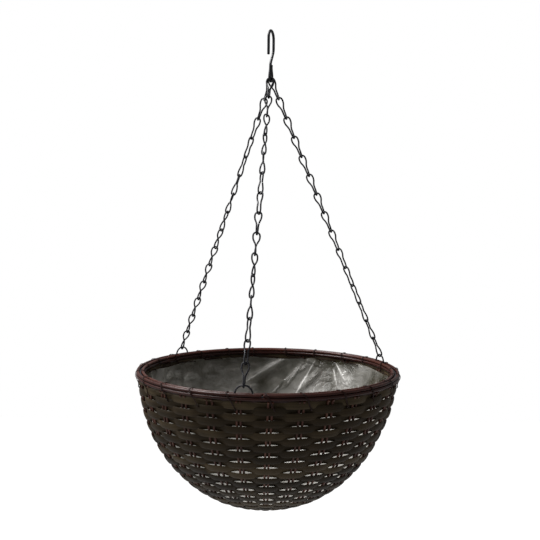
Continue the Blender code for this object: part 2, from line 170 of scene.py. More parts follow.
def blank_material(name):
    """A new material, its node tree and its main shader."""
    material = bpy.data.materials.new(name)
    material.use_nodes = True
    return material, material.node_tree, material.node_tree.nodes["Principled BSDF"]


def noise(tree, place, scale, detail, roughness=0.5, distortion=0.0):
    """Noise, laid out by the coordinates in place."""
    texture = tree.nodes.new("ShaderNodeTexNoise")
    texture.inputs["Scale"].default_value = scale
    texture.inputs["Detail"].default_value = detail
    texture.inputs["Roughness"].default_value = roughness
    texture.inputs["Distortion"].default_value = distortion
    tree.links.new(place, texture.inputs["Vector"])
    return texture.outputs["Fac"]


def coloured(tree, value, stops):
    """The colour that a value stands for, between two or more stops of a value and a colour."""
    ramp = tree.nodes.new("ShaderNodeValToRGB")
    elements = ramp.color_ramp.elements
    for element, (at, colour) in zip(elements, (stops[0], stops[-1])):
        element.position = at
        element.color = (*colour, 1.0)
    for at, colour in stops[1:-1]:
        elements.new(at).color = (*colour, 1.0)
    tree.links.new(value, ramp.inputs["Fac"])
    return ramp.outputs["Color"]


def ranged(tree, value, low, high, begin=0.0, end=1.0):
    """A value that goes from low to high while the given one goes from begin to end."""
    node = tree.nodes.new("ShaderNodeMapRange")
    node.inputs["From Min"].default_value = begin
    node.inputs["From Max"].default_value = end
    node.inputs["To Min"].default_value = low
    node.inputs["To Max"].default_value = high
    tree.links.new(value, node.inputs["Value"])
    return node.outputs["Result"]


def raised(tree, shader, height, strength, distance):
    """Fine relief on a shader's surface."""
    bump = tree.nodes.new("ShaderNodeBump")
    bump.inputs["Strength"].default_value = strength
    bump.inputs["Distance"].default_value = distance
    tree.links.new(height, bump.inputs["Height"])
    tree.links.new(bump.outputs["Normal"], shader.inputs["Normal"])


def coated_wire(name, colour, worn):
    """Coated wire: a soft sheen, with fine dust that dulls and lightens it in spots."""
    material, tree, shader = blank_material(name)
    shader.inputs["Specular IOR Level"].default_value = 0.30
    place = tree.nodes.new("ShaderNodeTexCoord").outputs["Object"]
    dust = noise(tree, place, scale=260.0, detail=4.0)
    tree.links.new(coloured(tree, dust, ((0.35, colour), (0.75, worn))), shader.inputs["Base Color"])
    tree.links.new(ranged(tree, dust, 0.30, 0.50), shader.inputs["Roughness"])
    raised(tree, shader, dust, strength=0.12, distance=0.0004)
    return material


def in_hook(across, height):
    """Points in the flat plane that the hook is bent in."""
    across, height = np.broadcast_arrays(across, height)
    return across[:, None] * ALONG_HOOK + height[:, None] * UP


bend_top = HOOK_WIRE / 2 - HOOK_BEND
half_turn = np.linspace(0.0, np.pi, ARC_POINTS)
swing_in = np.linspace(0.0, 1.0, SWING_IN_POINTS)[1:]
to_eye = np.linspace(0.0, 1.0, EYE_SIDE_POINTS)[1:]
hook_path = np.concatenate([
    in_hook(-HOOK_BEND, bend_top - HOOK_SHORT_LEG * np.linspace(1.0, 0.0, SHORT_LEG_POINTS)[:-1]),
    in_hook(-HOOK_BEND * np.cos(half_turn), bend_top + HOOK_BEND * np.sin(half_turn)),
    in_hook(HOOK_BEND, bend_top - HOOK_LONG_LEG * np.linspace(0.0, 1.0, LONG_LEG_POINTS)[1:]),
    in_hook(HOOK_BEND - (HOOK_BEND + HOOK_SIDE_STEP) * eased(swing_in),
            bend_top - HOOK_LONG_LEG + (HOOK_NECK - bend_top + HOOK_LONG_LEG) * swing_in),
    in_hook(-HOOK_SIDE_STEP - (HOOK_EYE - HOOK_SIDE_STEP) * eased(to_eye),
            HOOK_NECK + (HOOK_EYE_CENTRE - HOOK_NECK) * to_eye),
    in_hook(-HOOK_EYE * np.cos(half_turn[1:]), HOOK_EYE_CENTRE - HOOK_EYE * np.sin(half_turn[1:])),
    in_hook(HOOK_EYE - (HOOK_EYE - HOOK_SIDE_STEP) * eased(to_eye),
            HOOK_EYE_CENTRE + (HOOK_NECK - HOOK_EYE_CENTRE) * to_eye),
    in_hook(np.array([HOOK_SIDE_STEP + HOOK_TAIL_SPLAY]), np.array([HOOK_TAIL_HEIGHT - HOOK_DROP])),
])
hook_mesh = swept("wire_hook", hook_path, ACROSS_HOOK, round_outline(HOOK_WIRE, HOOK_SIDES),
                  dome=HOOK_END_ROUND)
hook_black = coated_wire("hook_black", colour=(0.004, 0.005, 0.007), worn=(0.012, 0.013, 0.017))
hook = shown("wire_hook", hook_mesh, hook_black)
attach(hook, "hook")
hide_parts("hook")

# Chains: fifteen links each, every one twisted from a length of 2.2 mm wire so that its lower lobe
# lies square to its upper one. The links turn slowly about the chain as it hangs.
LINKS = 15
# The link that a chain's bow joint moves
PULLED_LINK = 8
LINK_WIRE = 0.0022
# How far the top of a link's centre line stands over the link's own place on the chain
LINK_TOP = 0.0013
LINK_LENGTH = 0.0302
# Half the width of the upper lobe and of the lower one, and the gap between the wire's ends
LINK_UPPER = 0.00425
LINK_LOWER = 0.0030
LINK_END_GAP = 0.0004
LINK_SIDES = 10
LINK_CURVE_STEPS = 5
# One side of a link, in shares: how far down its length, then how far out as the upper lobe and as
# the lower one. The wire's ends meet before the point numbered LINK_WAIST.
LINK_SIDE = np.array((
    (0.007, 0.40, 0.00), (0.070, 0.90, 0.00), (0.180, 1.05, 0.00), (0.310, 0.93, 0.02),
    (0.430, 0.56, 0.16), (0.560, 0.20, 0.62), (0.760, 0.06, 1.00), (0.930, 0.00, 0.88),
    (0.993, 0.00, 0.40)))
LINK_WAIST = 5
# For each chain, how many degrees its links turn on the way down, and between which links
CHAIN_TURNS = {"left": (-132.0, 2, 10), "right": (-53.0, 8, 14), "front": (367.0, 1, 15)}


def smoothed(points, steps):
    """A curve through points, with so many steps from each to the next."""
    points = np.concatenate([2 * points[:1] - points[1:2], points, 2 * points[-1:] - points[-2:-1]])
    before, start, end, after = (points[i:len(points) - 3 + i, None] for i in range(4))
    way = (np.arange(steps) / steps)[None, :, None]
    curve = 0.5 * (2 * start + (end - before) * way
                   + (2 * before - 5 * start + 4 * end - after) * way ** 2
                   + (3 * start - before - 3 * end + after) * way ** 3)
    return np.concatenate([curve.reshape(-1, 3), points[-2:-1]])


near_side = np.stack([LINK_SIDE[:, 1] * LINK_UPPER, LINK_SIDE[:, 2] * LINK_LOWER,
                      LINK_TOP - LINK_SIDE[:, 0] * LINK_LENGTH], 1)
far_side = near_side * (-1.0, -1.0, 1.0)
waist = (far_side[LINK_WAIST - 1] + far_side[LINK_WAIST]) / 2
to_end = unit(far_side[LINK_WAIST - 1] - waist) * LINK_END_GAP / 2
link_path = smoothed(np.concatenate([[waist + to_end], far_side[LINK_WAIST - 1::-1], near_side,
                                     far_side[:LINK_WAIST - 1:-1], [waist - to_end]]), LINK_CURVE_STEPS)
link_mesh = swept("twisted_link", link_path, None, round_outline(LINK_WIRE, LINK_SIDES))
chain_black = coated_wire("chain_black", colour=(0.004, 0.004, 0.007), worn=(0.014, 0.014, 0.019))


def chain_line(chain):
    """The place of a chain's pulled link, and the step from each link to the next."""
    pulled = Vector(joints[f"{chain}_chain_bow"]["pos_m"])
    return pulled, Vector(joints[f"{chain}_chain_slide_{PULLED_LINK + 1:02d}"]["pos_m"]) - pulled


for chain, (turn, first_turned, last_turned) in CHAIN_TURNS.items():
    pulled, to_next = chain_line(chain)
    way = to_next.normalized()
    across = Vector(ACROSS_HOOK)
    wide = (across - way * across.dot(way)).normalized()
    for number in range(1, LINKS + 1):
        share = min(max((number - first_turned) / (last_turned - first_turned), 0.0), 1.0)
        axis = Matrix.Rotation(math.radians(turn) * share, 3, -way) @ wide
        stance = Matrix((axis, (-way).cross(axis), -way)).transposed()
        node = f"{chain}_chain_link_{number:02d}"
        link = shown(f"{chain}_link_{number:02d}", link_mesh, chain_black)
        place = pulled + to_next * (number - PULLED_LINK)
        link.matrix_world = Matrix.Translation(place) @ stance.to_4x4()
        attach(link, "basket" if number == 1 else node)
        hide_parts(node)

# Rim: a wire hoop with three arched eyes welded on top for the chains. Only the eyes show, because
# the canes hide the rest.
RIM_RADIUS = 0.1716
RIM_WIRE = 0.0040
HOOP_SIDES = 10
HOOP_POINTS = 120
EYE_WIRE = 0.0022
EYE_SIDES = 12
# The eyes stand on this circle, and their top and feet lie this far over the hoop's line
EYE_CIRCLE = 0.1712
EYE_HALF = 0.0109
EYE_TOP = 0.0140
EYE_FOOT = 0.0008
# The bearings of the eyes in degrees, from the back round by the right
EYE_BEARINGS = {"left": -48.0, "right": 68.5, "front": 189.5}
# From the place of a chain's last link down to the eye's wire
LAST_REACH = 0.02645

pulled, to_next = chain_line("left")
last_link = pulled + to_next * (LINKS - PULLED_LINK)
RIM_LEVEL = (last_link + to_next.normalized() * LAST_REACH)[2] - EYE_TOP


def on_circle(bearings, radius, height):
    """Points round the rim's middle, with their height measured from the hoop."""
    bearings, radius, height = np.broadcast_arrays(bearings, radius, height)
    return np.stack([radius * np.sin(bearings), radius * np.cos(bearings), height + RIM_LEVEL], -1)


def outward(bearings):
    return np.stack([np.sin(bearings), np.cos(bearings), np.zeros_like(bearings)], -1)


hoop_turns = np.linspace(0.0, 2 * np.pi, HOOP_POINTS, endpoint=False)
hoop_path = on_circle(hoop_turns, RIM_RADIUS, 0.0)
hoop_mesh = swept("wire_hoop", hoop_path, UP, round_outline(RIM_WIRE, HOOP_SIDES), closed=True)
hoop = shown("wire_hoop", hoop_mesh, chain_black)
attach(hoop, "basket")
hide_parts("rim_hoop")
arch = np.linspace(0.0, np.pi, ARC_POINTS)[:, None]
for chain, bearing in EYE_BEARINGS.items():
    bearing = math.radians(bearing)
    middle = on_circle(bearing, EYE_CIRCLE, 0.0)
    out = outward(bearing)
    sideways = np.cross(UP, out)
    eye_path = np.concatenate([
        [middle - sideways * EYE_HALF + UP * EYE_FOOT],
        middle - np.cos(arch) * sideways * EYE_HALF + (EYE_TOP - EYE_HALF + EYE_HALF * np.sin(arch)) * UP,
        [middle + sideways * EYE_HALF + UP * EYE_FOOT]])
    eye_mesh = swept(f"{chain}_eye", eye_path, out, round_outline(EYE_WIRE, EYE_SIDES))
    eye = shown(f"{chain}_eye", eye_mesh, chain_black)
    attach(eye, "basket")
    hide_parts(f"{chain}_rim_eye")

# Canes: five lengths of stained round rattan laid round the hoop, so that it doesn't show. Each
# wanders a little, and its two ends stop just short of each other.
CANE = 0.0039
# From the hoop's line to a cane's
CANE_OFFSET = 0.00425
CANE_SIDES = 12
CANE_POINTS = 260
CANE_END_ROUND = 0.0012
# Half the gap between a cane's ends, in radians round the rim
CANE_END_GAP = 0.004
# How far a cane strays from the hoop, sways round it in radians and swells, each with its waves
# in one turn of the rim
CANE_STRAY, STRAY_WAVES = 0.0005, (5, 9, 14, 23)
CANE_SWAY, SWAY_WAVES = 0.09, (4, 7, 11, 17)
CANE_SWELL, SWELL_WAVES = 0.10, (6, 13, 31)
# Angle round the hoop, where 0 is outward and 90 is up, then the bearing of its ends and its tone
CANES = {
    "rim_cane_outer_low": (-22.0, 40.0, 0.35),
    "rim_cane_top_outer": (38.0, 182.0, 0.55),
    "rim_cane_top_inner": (142.0, 300.0, 0.75),
    "rim_cane_inner_low": (202.0, 96.0, 0.30),
    "rim_cane_bottom": (270.0, 250.0, 0.15),
}
rng = np.random.default_rng(29)


def wander(turns, waves, size):
    """A seeded slow waver round the rim, with so many waves in one turn."""
    total = np.zeros_like(turns)
    for wave in waves:
        total += np.sin(wave * turns + rng.uniform(0, 2 * np.pi)) * rng.uniform(0.5, 1.0) / wave ** 0.5
    return total * size / len(waves)


def kept_on_points(tree, name):
    """A value that the mesh keeps on its points."""
    node = tree.nodes.new("ShaderNodeAttribute")
    node.attribute_name = name
    return node.outputs["Fac"]


def computed(tree, operation, *values):
    """Arithmetic on numbers and on the values of other nodes."""
    node = tree.nodes.new("ShaderNodeMath")
    node.operation = operation
    for socket, value in zip(node.inputs, values):
        if isinstance(value, float):
            socket.default_value = value
        else:
            tree.links.new(value, socket)
    return node.outputs["Value"]


def stained_cane(name, dark, middle, light, streaks, rough, shine, bump_depth):
    """Stained rattan: fine streaks along the grain, patches of deeper stain and a satin skin.

    streaks is how often the grain changes along a strand and round it, to the metre.
    """
    material, tree, shader = blank_material(name)
    shader.inputs["Specular IOR Level"].default_value = shine
    tone = kept_on_points(tree, "tone")
    grain = tree.nodes.new("ShaderNodeUVMap")
    grain.uv_map = "grain"
    stretch = tree.nodes.new("ShaderNodeMapping")
    stretch.inputs["Scale"].default_value = streaks
    tree.links.new(grain.outputs["UV"], stretch.inputs["Vector"])
    # Strands of another tone lie elsewhere in the noise, so that their streaks differ
    apart = tree.nodes.new("ShaderNodeCombineXYZ")
    tree.links.new(tone, apart.inputs["Z"])
    moved = tree.nodes.new("ShaderNodeVectorMath")
    moved.operation = "MULTIPLY_ADD"
    moved.inputs[1].default_value = (37.0, 37.0, 37.0)
    tree.links.new(apart.outputs["Vector"], moved.inputs[0])
    tree.links.new(stretch.outputs["Vector"], moved.inputs[2])
    fibre = noise(tree, moved.outputs["Vector"], scale=1.0, detail=5.0, roughness=0.62)
    place = tree.nodes.new("ShaderNodeTexCoord").outputs["Object"]
    patch = noise(tree, place, scale=34.0, detail=3.0)
    patchy = computed(tree, "MULTIPLY_ADD", patch, 0.50, -0.25)
    streaky = computed(tree, "MULTIPLY_ADD", fibre, 0.55, patchy)
    stain = computed(tree, "MULTIPLY_ADD", tone, 0.45, streaky)
    colour = coloured(tree, stain, ((0.22, dark), (0.50, middle), (0.78, light)))
    tree.links.new(colour, shader.inputs["Base Color"])
    tree.links.new(ranged(tree, fibre, rough - 0.08, rough + 0.12), shader.inputs["Roughness"])
    raised(tree, shader, fibre, strength=0.35, distance=bump_depth)
    return material


cane_brown = stained_cane(
    "rim_cane_brown", dark=(0.009, 0.0021, 0.0012), middle=(0.030, 0.0060, 0.0035),
    light=(0.066, 0.0190, 0.0115), streaks=(30.0, 900.0, 1.0), rough=0.34, shine=0.22, bump_depth=0.0006)
for name, (angle, ends, tone) in CANES.items():
    turns = math.radians(ends) + np.linspace(CANE_END_GAP, 2 * np.pi - CANE_END_GAP, CANE_POINTS)
    stray = CANE_OFFSET + wander(turns, STRAY_WAVES, CANE_STRAY)
    sway = math.radians(angle) + wander(turns, SWAY_WAVES, CANE_SWAY)
    cane_path = on_circle(turns, RIM_RADIUS + stray * np.cos(sway), stray * np.sin(sway))
    girth = CANE * (1 + wander(turns, SWELL_WAVES, CANE_SWELL))
    outline = girth[:, None, None] * round_outline(1.0, CANE_SIDES)
    cane_mesh = swept(f"{name}_fine", cane_path, UP, outline, tone=tone, dome=CANE_END_ROUND)
    cane = shown(f"{name}_fine", cane_mesh, cane_brown)
    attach(cane, "basket")
    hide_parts(name)

# Stakes: twenty-nine pairs of thin round canes that run from under the rim down to the base. The
# weavers pass outside one pair and inside the next.
WALL_RADIUS = 0.1746
WALL_DEPTH = 0.1840
WALL_RADIUS_POWER = 2.20
WALL_DEPTH_POWER = 1.80
# The middle of the weave lies this far inside the wall's outer face
WALL_MIDDLE = 0.0030
# The lower half of the bowl hangs this far to the left, and the upper half eases into it
WALL_LEAN = -0.0025
# A distance from the bowl's middle line counts as at least this
NEAR_MIDDLE = 0.02
PAIRS = 29
# The bearing of the first pair, which faces the camera, and half of how far apart its stakes stand
FACING = math.radians(179.0)
FACING_APART = 0.0025
STAKE = 0.0031
STAKE_SIDES = 8
# Half of how far apart the stakes of any other pair stand, how that is scattered and limited, how
# each stake's place is scattered, and how much closer and thinner they are at the foot
STAKE_APART = 0.0031
APART_SCATTER = 0.15
APART_LIMIT = 1.6
STAKE_SCATTER = 0.00012
STAKE_CLOSING = 0.35
STAKE_THINNING = 0.15
# How much a pair's lean to one side changes from each of these places down the wall to the next
STAKE_LEAN = math.radians(0.5)
LEAN_PLACES = 4
# How far a stake's top is bent in under the canes, from what depth, and over how much of it
STAKE_TUCK = 0.0036
TUCK_DEPTH = 0.0080
TUCK_RUN = 0.0035
STAKE_TOP = 0.0045
STAKE_FOOT = math.radians(80.5)


def wall_turn(down):
    """How far round the bowl's curve a depth below the rim lies."""
    return np.arcsin((down / WALL_DEPTH) ** (WALL_DEPTH_POWER / 2))


def on_wall(turn, bearings, out=0.0):
    """A point on the middle of the wall, moved outward, and the wall's outward direction there."""
    turn, bearings, out = np.broadcast_arrays(turn, bearings, out)
    small_step, smallest = 0.002, 1e-4

    def profile(turn):
        turn = np.clip(turn, smallest, np.pi / 2 - smallest)
        return (WALL_RADIUS * np.cos(turn) ** (2 / WALL_RADIUS_POWER),
                -WALL_DEPTH * np.sin(turn) ** (2 / WALL_DEPTH_POWER))

    radius, height = profile(turn)
    radius_above, height_above = profile(turn - small_step)
    radius_below, height_below = profile(turn + small_step)
    slope = unit(np.stack([height_above - height_below, radius_below - radius_above], -1))
    lift = out - WALL_MIDDLE
    points = on_circle(bearings, radius + slope[..., 0] * lift, height + slope[..., 1] * lift)
    points[..., 0] += WALL_LEAN * eased(np.clip(-height / WALL_DEPTH, 0.0, 0.5) * 2)
    normals = outward(bearings) * slope[..., :1] + UP * slope[..., 1:]
    return points, normals


# A stake's points lie closer together where its top is bent in, then evenly down the wall and, by
# angle, over the edge of the base
TOP_BEND = (STAKE_TOP, 0.012, 7)
LONG_RUN = (0.016, 0.150, 26)
FOOT_RUN = (wall_turn(0.155), STAKE_FOOT, 8)

stake_brown = stained_cane(
    "stake_brown", dark=(0.026, 0.0084, 0.0054), middle=(0.070, 0.0240, 0.0145),
    light=(0.120, 0.049, 0.031), streaks=(40.0, 900.0, 1.0), rough=0.42, shine=0.30, bump_depth=0.0005)
stake_turn = np.concatenate([wall_turn(np.linspace(*TOP_BEND)), wall_turn(np.linspace(*LONG_RUN)),
                             np.linspace(*FOOT_RUN)])
down_share = (stake_turn - stake_turn[0]) / (stake_turn[-1] - stake_turn[0])
from_middle = np.maximum(WALL_RADIUS * np.cos(stake_turn), NEAR_MIDDLE)
stake_girth = STAKE * (1 - STAKE_THINNING * down_share)
stake_outline = stake_girth[:, None, None] * round_outline(1.0, STAKE_SIDES)
lean = rng.normal(0.0, STAKE_LEAN, (PAIRS, LEAN_PLACES))
lean[:, 0] = 0.0
lean = lean.cumsum(1)
apart_draws = np.clip(rng.normal(0.0, 1.0, PAIRS), -APART_LIMIT, APART_LIMIT)
half_apart = STAKE_APART * (1 + APART_SCATTER * apart_draws)
half_apart[0] = FACING_APART
stake_meshes = []
for pair in range(PAIRS):
    sway = np.interp(down_share, np.linspace(0.0, 1.0, LEAN_PLACES), lean[pair])
    pair_bearings = FACING + 2 * math.pi * pair / PAIRS + sway * (1 - down_share ** 3)
    for side in (-1, 1):
        scatter = rng.normal(0.0, STAKE_SCATTER)
        apart = (half_apart[pair] * (1 - STAKE_CLOSING * down_share ** 2) + scatter) * side
        bearings = pair_bearings + apart / from_middle
        depth = -on_wall(stake_turn, bearings)[0][:, 2] + RIM_LEVEL
        tuck = STAKE_TUCK * eased(np.clip((TUCK_DEPTH - depth) / TUCK_RUN, 0.0, 1.0))
        points, normals = on_wall(stake_turn, bearings, tuck)
        stake_meshes.append(swept("stake", points, normals, stake_outline, tone=rng.uniform(0.1, 0.9)))


def joined(name, meshes, material):
    """Many strands kept as one piece."""
    parts = [shown(f"{name}_{i}", mesh, material) for i, mesh in enumerate(meshes)]
    with bpy.context.temp_override(active_object=parts[0], object=parts[0],
                                   selected_editable_objects=parts):
        bpy.ops.object.join()
    parts[0].name = name
    parts[0].data.name = name
    return parts[0]


stakes = joined("paired_stakes", stake_meshes, stake_brown)
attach(stakes, "basket")
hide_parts("woven_wall")

# Weavers: flat strips worked round and round without a break. With an odd number of pairs, each
# round passes outside the pairs that the round above passed inside.
FIRST_ROUND = math.radians(3.97)
ROUND_STEP = math.radians(2.73)
LAST_ROUND = math.radians(79.5)
# How far the strip swings out and in, and how squarely it does
WEAVE_SWING = 0.0023
SWING_SQUARE = 1.7
STRIP_HALF_WIDTH = 0.0050
STRIP_THICK = 0.0020
# How much narrower the strip is drawn where it passes inside a pair, how sharply, how much less so
# by the base, how far up it slips there, and how much flatter and wider it lies by the base
STRIP_DRAWN_IN = 0.0008
DRAWN_SHARPLY = 2.5
DRAWN_LESS = 0.75
STRIP_LIFT = 0.0002
STRIP_FLATTER = 0.45
STRIP_WIDER = 0.13
# How much one float, which is a stretch over or behind one pair, differs from the next in its
# height on the wall, its width and its swing
HEIGHT_SCATTER = math.radians(0.08)
WIDTH_SCATTER = 0.04
SWING_SCATTER = 0.06
SCATTER_LIMIT = 2.0
# The strip starts as a tapered end that fills the wedge under the canes
STRIP_EDGE = 0.0050
STRIP_TIP = 0.18
# A strip of another tone takes over after so many floats
FLOATS_PER_STRIP = 38
STEPS_PER_PAIR = 10
# The strip in section, as shares of its half width and of its thickness
STRIP_SECTION = np.array((
    (-1.0, 0.0), (-0.80, 0.34), (-0.35, 0.50), (0.35, 0.50), (0.80, 0.34), (1.0, 0.0), (0.70, -0.32),
    (0.0, -0.44), (-0.70, -0.32)))

# walk is the angle that the strip has gone round, and starts a round early for the tapered end
rounds = (LAST_ROUND - FIRST_ROUND) / ROUND_STEP
walk = (np.arange(-PAIRS * STEPS_PER_PAIR, rounds * PAIRS * STEPS_PER_PAIR) * 2 * np.pi
        / (PAIRS * STEPS_PER_PAIR))
phase = walk * PAIRS / 2
crossing = -np.cos(phase)
back = np.clip(-crossing, 0.0, 1.0)
float_number = np.floor(phase / np.pi + 0.5).astype(int) + PAIRS
# Each float's draws, for its height, its width and its swing, and one to spare
float_draws = rng.normal(0.0, 1.0, (float_number.max() + 2, 4))


def per_float(column, size):
    """A value for each float of the strip, easing from one to the next."""
    spot = phase / np.pi + PAIRS
    low = np.floor(spot).astype(int)
    mix = eased(spot - low)
    drawn = float_draws[low, column] * (1 - mix) + float_draws[low + 1, column] * mix
    return size * np.clip(drawn, -SCATTER_LIMIT, SCATTER_LIMIT)


taper = np.clip(STRIP_TIP + (walk - walk[0]) / (2 * np.pi), 0.0, 1.0)
wedge_turn = np.minimum(wall_turn(STRIP_EDGE + STRIP_HALF_WIDTH * taper), FIRST_ROUND)
strip_turn = np.where(walk < 0.0, wedge_turn, FIRST_ROUND + ROUND_STEP * walk / (2 * np.pi))
strip_turn = strip_turn + per_float(0, HEIGHT_SCATTER) - back ** 2 * STRIP_LIFT / WALL_RADIUS
low_down = np.clip(walk / walk[-1], 0.0, 1.0)
after_start = np.clip(walk / np.pi, 0.0, 1.0)
drawn_in = STRIP_DRAWN_IN * (1 - DRAWN_LESS * low_down) * back ** DRAWN_SHARPLY * after_start
half_width = STRIP_HALF_WIDTH * (1 + STRIP_WIDER * low_down) - drawn_in
half_width = half_width * (1 + per_float(1, WIDTH_SCATTER)) * taper
swing = (WEAVE_SWING * np.tanh(SWING_SQUARE * crossing) / math.tanh(SWING_SQUARE)
         * (1 + per_float(2, SWING_SCATTER)) * (1 - STRIP_FLATTER * low_down))
strip_path, strip_out = on_wall(strip_turn, FACING + walk, swing)
strip_half_and_thick = np.stack([half_width, np.full_like(half_width, STRIP_THICK)], -1)
strip_outline = STRIP_SECTION * strip_half_and_thick[:, None]
strip_number = np.floor((float_number + 0.5) / FLOATS_PER_STRIP).astype(int)
strip_tone = rng.uniform(0.0, 1.0, strip_number.max() + 1)[strip_number]
weave_brown = stained_cane(
    "weaver_brown", dark=(0.0130, 0.0090, 0.0045), middle=(0.0320, 0.0216, 0.0108),
    light=(0.0630, 0.0450, 0.0235), streaks=(22.0, 620.0, 1.0), rough=0.50, shine=0.10, bump_depth=0.0008)
weaver_mesh = swept("flat_weavers", strip_path, strip_out, strip_outline, tone=strip_tone)
weavers = shown("flat_weavers", weaver_mesh, weave_brown)
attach(weavers, "basket")
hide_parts("woven_wall")

# Base: fifteen spokes laid out from the middle, with thin round cane woven over and under them
# from the centre out until the stakes take over.
SPOKES = 15
SPOKE = 0.0026
SPOKE_START = 0.0015
SPOKE_POINTS = 14
BASE_CANE = 0.0021
BASE_SIDES = 8
BASE_REACH = 0.0400
BASE_FIRST = 0.0060
BASE_LAST = 0.0370
BASE_STEP = 0.0024
STEPS_PER_SPOKE = 8


def turn_at(radius):
    """How far round the bowl's curve a distance from its middle lies."""
    return np.arccos((radius / WALL_RADIUS) ** (WALL_RADIUS_POWER / 2))


base_meshes = []
spoke_turn = turn_at(np.linspace(SPOKE_START, BASE_REACH, SPOKE_POINTS))
spoke_outline = round_outline(SPOKE, BASE_SIDES)
for spoke in range(SPOKES):
    points, normals = on_wall(spoke_turn, 2 * math.pi * spoke / SPOKES)
    base_meshes.append(swept("spoke", points, normals, spoke_outline, tone=rng.uniform(0.2, 0.8)))
base_rounds = (BASE_LAST - BASE_FIRST) / BASE_STEP
base_walk = np.arange(0.0, base_rounds * 2 * np.pi, 2 * np.pi / (SPOKES * STEPS_PER_SPOKE))
base_radius = BASE_FIRST + BASE_STEP * base_walk / (2 * np.pi)
base_swing = (SPOKE + BASE_CANE) / 2 * np.cos(base_walk * SPOKES / 2)
points, normals = on_wall(turn_at(base_radius), base_walk, base_swing)
base_meshes.append(swept("base_cane", points, normals, round_outline(BASE_CANE, BASE_SIDES), tone=0.4))
base = joined("woven_base", base_meshes, weave_brown)
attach(base, "basket")
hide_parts("woven_wall")

# Lashing: one thin split strand that binds the rim canes to the top round of the wall. It climbs
# on the slant outside, goes over the canes and runs on inside to the next place.
LASHINGS = 23
LASHING_START = math.radians(70.4)
# How unevenly the places are spaced, in radians
LASHING_SCATTER = 0.012
LASHING_WIDTH = 0.0019
LASHING_THICK = 0.0007
LASHING_CURVE_STEPS = 4
# Once round in a slice through the rim: how far out from the hoop and how high
LASHING_SLICE = np.array((
    (-0.0048, -0.0092), (-0.0010, -0.0160), (0.0026, -0.0156), (0.0028, -0.0108), (0.0049, -0.0054),
    (0.0067, -0.0012), (0.0061, 0.0030), (0.0040, 0.0051), (-0.0040, 0.0051), (-0.0061, 0.0030),
    (-0.0067, -0.0010), (-0.0067, -0.0045)))
# How far along the rim the strand gets while it goes round once, and where it is on that stretch,
# from its middle, at these points of the slice
LASHING_CLIMB = 0.0120
CLIMB_POINTS, CLIMB_SHARES = (0, 2, 7, 11), (-0.5, -0.5, 0.42, 0.5)
# Where the strand runs on inside, how many points it has there, and on which stretch of the way
LASHING_INSIDE = (-0.0058, -0.0078)
RUN_ON_POINTS = 4
RUN_ON_STRETCH = (0.2, 0.8)
# Lower than this below the hoop the strand lies flat on the wall
FLAT_BELOW = -0.006

climb = LASHING_CLIMB / RIM_RADIUS
slant = climb * np.interp(np.arange(len(LASHING_SLICE)), CLIMB_POINTS, CLIMB_SHARES)
run_on = climb / 2 + (2 * math.pi / LASHINGS - climb) * np.linspace(*RUN_ON_STRETCH, RUN_ON_POINTS)
lash_slice, lash_bearing = [], []
for station in range(LASHINGS):
    middle = LASHING_START + 2 * math.pi * station / LASHINGS + rng.normal(0.0, LASHING_SCATTER)
    lash_slice += [LASHING_SLICE, np.broadcast_to(LASHING_INSIDE, (RUN_ON_POINTS, 2))]
    lash_bearing += [middle + slant, middle + run_on]
lash_slice = np.concatenate(lash_slice)[:-RUN_ON_POINTS]
lash_bearing = np.concatenate(lash_bearing)[:-RUN_ON_POINTS]
lash_line = smoothed(np.column_stack([lash_slice, lash_bearing]), LASHING_CURVE_STEPS)
lash_path = on_circle(lash_line[:, 2], RIM_RADIUS + lash_line[:, 0], lash_line[:, 1])
from_hoop = np.column_stack([lash_line[:, 0], np.maximum(lash_line[:, 1], FLAT_BELOW)])
lash_out = outward(lash_line[:, 2]) * from_hoop[:, :1] + UP * from_hoop[:, 1:]
strand = np.array(((-0.5, 0.0), (-0.35, 0.5), (0.35, 0.5), (0.5, 0.0), (0.35, -0.5), (-0.35, -0.5)))
lashing_mesh = swept("rim_binding", lash_path, lash_out, strand * (LASHING_WIDTH, LASHING_THICK))
lashing_brown = stained_cane(
    "lashing_brown", dark=(0.006, 0.002, 0.0015), middle=(0.015, 0.005, 0.0035),
    light=(0.032, 0.012, 0.009), streaks=(60.0, 1500.0, 1.0), rough=0.55, shine=0.15, bump_depth=0.0004)
lashing = shown("rim_binding", lashing_mesh, lashing_brown)
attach(lashing, "basket")
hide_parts("rim_lashing")

# Liner: a round of milky polythene film pressed down into the bowl. The spare width lies in slanting
# creases with painted highlights along them, and the edge is trimmed just below the canes.
LINER_TOP = 0.0088
LINER_INSET = 0.0072
LINER_FOOT = math.radians(89.0)
# About how far it is down the bowl's inside, from the film's edge to the middle
LINER_ARC = 0.270
# How far the trimmed edge wavers up and down, each with its waves in one turn
EDGE_SLOW, SLOW_WAVES = 0.0014, 5
EDGE_QUICK, QUICK_WAVES = 0.0010, 11
LINER_ROUND = 480
LINER_DOWN = 110
# The film's points lie closer together near its edge
CLOSER_AT_EDGE = 1.25
# A crease has this share of its breadth where it begins, and gains so much on the way
CREASE_START, CREASE_GAIN = 0.45, 0.9
# How steeply a crease falls away on one side and on the other, and how fast its painted highlight does
STEEP_SIDE, GENTLE_SIDE, GLINT_SIDE = 2.4, 1.1, 0.9
# The lower this power, the more abruptly a crease begins and ends
CREASE_FADE = 0.7
# The way to the nearest crest is kept in millimetres, and taken as this away from every crease
MILLIMETRES = 1000
FAR_FROM_CREST = 9.0
